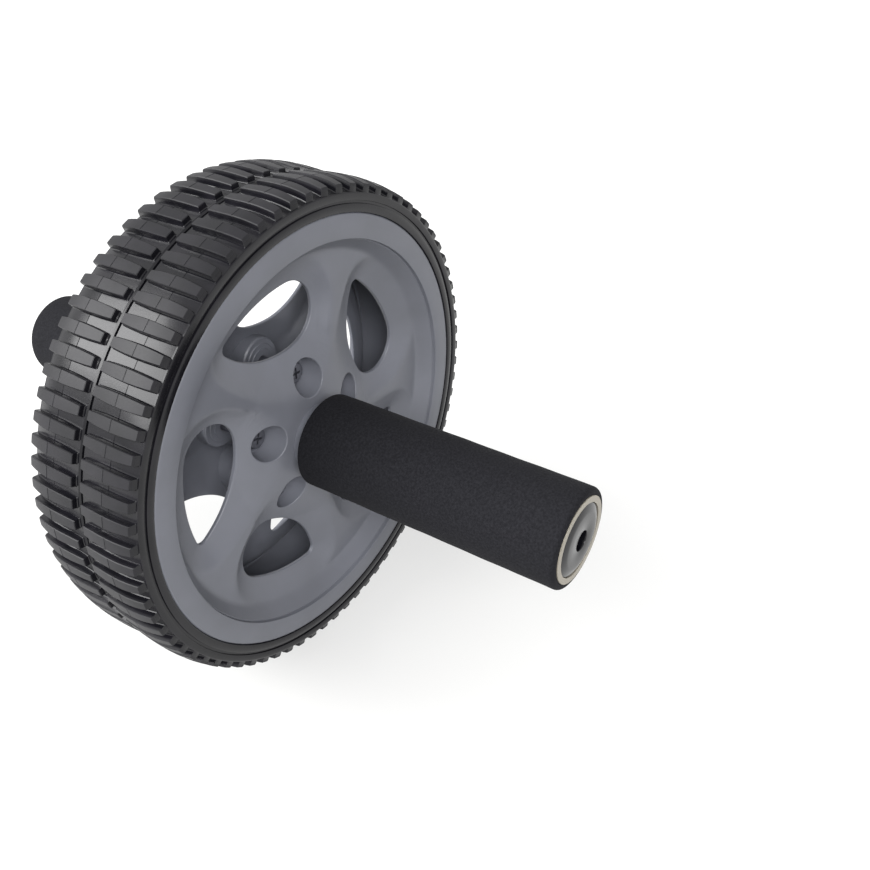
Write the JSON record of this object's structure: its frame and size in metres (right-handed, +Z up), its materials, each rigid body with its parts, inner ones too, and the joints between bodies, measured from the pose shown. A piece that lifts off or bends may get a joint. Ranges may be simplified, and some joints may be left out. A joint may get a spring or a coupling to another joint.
{
  "type": "ab wheel roller",
  "caption": "Ab roller: a wide rubber-tyred wheel with windowed plastic spokes that spins freely on a steel axle between two foam-sleeved handles.",
  "frame": {"origin": "centre of the wheel, on the axle's axis", "axes": "+Y along the axle towards the back handle, +Z up through a wheel screw and a bar of the tread, +X forwards across the wheel"},
  "size_m": [0.1814, 0.2482, 0.1814],
  "materials": {
    "grey_plastic": "satin moulded mid grey",
    "tyre_rubber": "moulded black rubber",
    "grip_foam": "matt black closed-cell foam",
    "ivory_plastic": "satin moulded ivory",
    "black_plastic": "polished moulded black",
    "nylon": "natural nylon",
    "steel": "turned bright steel",
    "zinc_steel": "zinc plated"
  },
  "bodies": {
    "handlebar": {"axle_rod": "steel", "end_plug_back": "black_plastic", "end_plug_front": "black_plastic", "foam_grip_back": "grip_foam", "foam_grip_front": "grip_foam", "handle_core_back": "ivory_plastic", "handle_core_front": "ivory_plastic", "handle_screw_back": "zinc_steel", "handle_screw_front": "zinc_steel", "handle_washer_back": "zinc_steel", "handle_washer_front": "zinc_steel", "thrust_washer_back": "steel", "thrust_washer_front": "steel"},
    "wheel": {"hub_bush_back": "nylon", "hub_bush_front": "nylon", "tyre_back": "tyre_rubber", "tyre_front": "tyre_rubber", "wheel_half_back": "grey_plastic", "wheel_half_front": "grey_plastic", "wheel_nuts": "zinc_steel", "wheel_screws": "zinc_steel", "wheel_washers": "zinc_steel"}
  },
  "joints": [
    {"name": "wheel_spin", "type": "hinge", "parent": "handlebar", "child": "wheel", "pos_m": [0, 0, 0], "axis": [0, 1, 0], "continuous": true}
  ]
}
